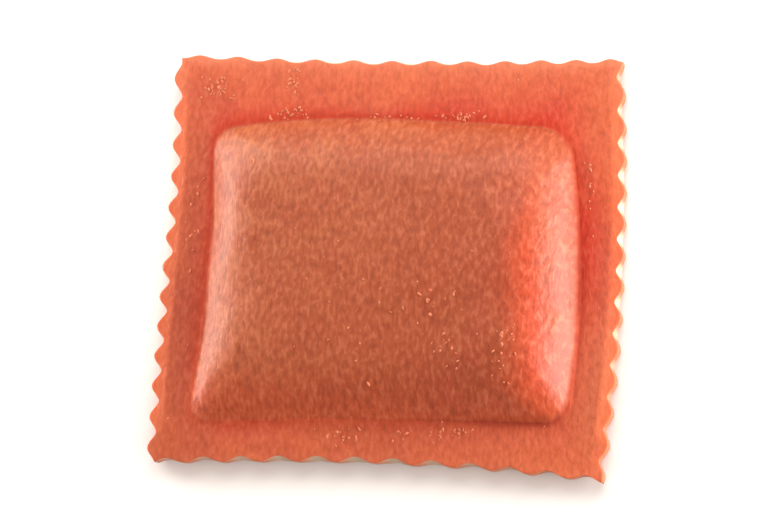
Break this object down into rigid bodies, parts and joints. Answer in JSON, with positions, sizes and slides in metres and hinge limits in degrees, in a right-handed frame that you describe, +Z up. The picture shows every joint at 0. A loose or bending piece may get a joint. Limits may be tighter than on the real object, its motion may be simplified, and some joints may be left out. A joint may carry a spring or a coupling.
{
  "type": "ravioli",
  "caption": "Square filled pasta parcel in red dough: a raised cushion with rounded corners inside a flat flange with a wavy pinked edge.",
  "frame": {"origin": "middle of the outline's bounding box, on the surface the raviolo lies on", "axes": "+X along the longer side, +Y along the shorter side, towards the side with the wider flange, +Z up out of the filled face"},
  "size_m": [0.0506, 0.0446, 0.0071],
  "materials": {
    "dough": null
  },
  "bodies": {
    "root": {"raviolo": "dough"}
  },
  "joints": []
}
